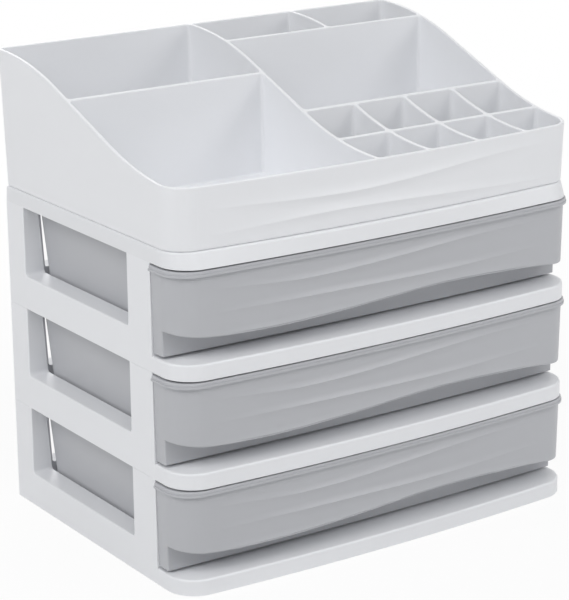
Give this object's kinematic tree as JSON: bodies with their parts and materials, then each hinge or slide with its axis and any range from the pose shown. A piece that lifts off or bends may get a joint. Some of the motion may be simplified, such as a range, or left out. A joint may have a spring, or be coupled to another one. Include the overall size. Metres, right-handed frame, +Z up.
{
  "type": "makeup organizer",
  "caption": "Free-standing plastic makeup organizer: a compartmented tray with swept sides on a stack of frames, each with a wide pull-out drawer.",
  "frame": {"origin": "middle of the whole object's footprint, on the surface that it stands on, with the drawers shut", "axes": "+X across the front to the viewer's right, +Y to the back, +Z up; the drawers pull out along -Y"},
  "size_m": [0.2778, 0.198, 0.2756],
  "materials": {
    "white_plastic": "white injection-moulded plastic with a fine satin surface",
    "grey_plastic": "light grey injection-moulded plastic with a fine satin surface"
  },
  "bodies": {
    "housing": {"drawer_frame_bottom": "white_plastic", "drawer_frame_middle": "white_plastic", "drawer_frame_top": "white_plastic", "top_cover": "white_plastic", "top_tray": "white_plastic"},
    "bottom_drawer": {"drawer_bottom": "grey_plastic"},
    "middle_drawer": {"drawer_middle": "grey_plastic"},
    "top_drawer": {"drawer_top": "grey_plastic"}
  },
  "joints": [
    {"name": "bottom_drawer_slide", "type": "slide", "parent": "housing", "child": "bottom_drawer", "axis": [0, -1, 0], "range_m": [0, 0.12]},
    {"name": "middle_drawer_slide", "type": "slide", "parent": "housing", "child": "middle_drawer", "axis": [0, -1, 0], "range_m": [0, 0.12]},
    {"name": "top_drawer_slide", "type": "slide", "parent": "housing", "child": "top_drawer", "axis": [0, -1, 0], "range_m": [0, 0.12]}
  ]
}
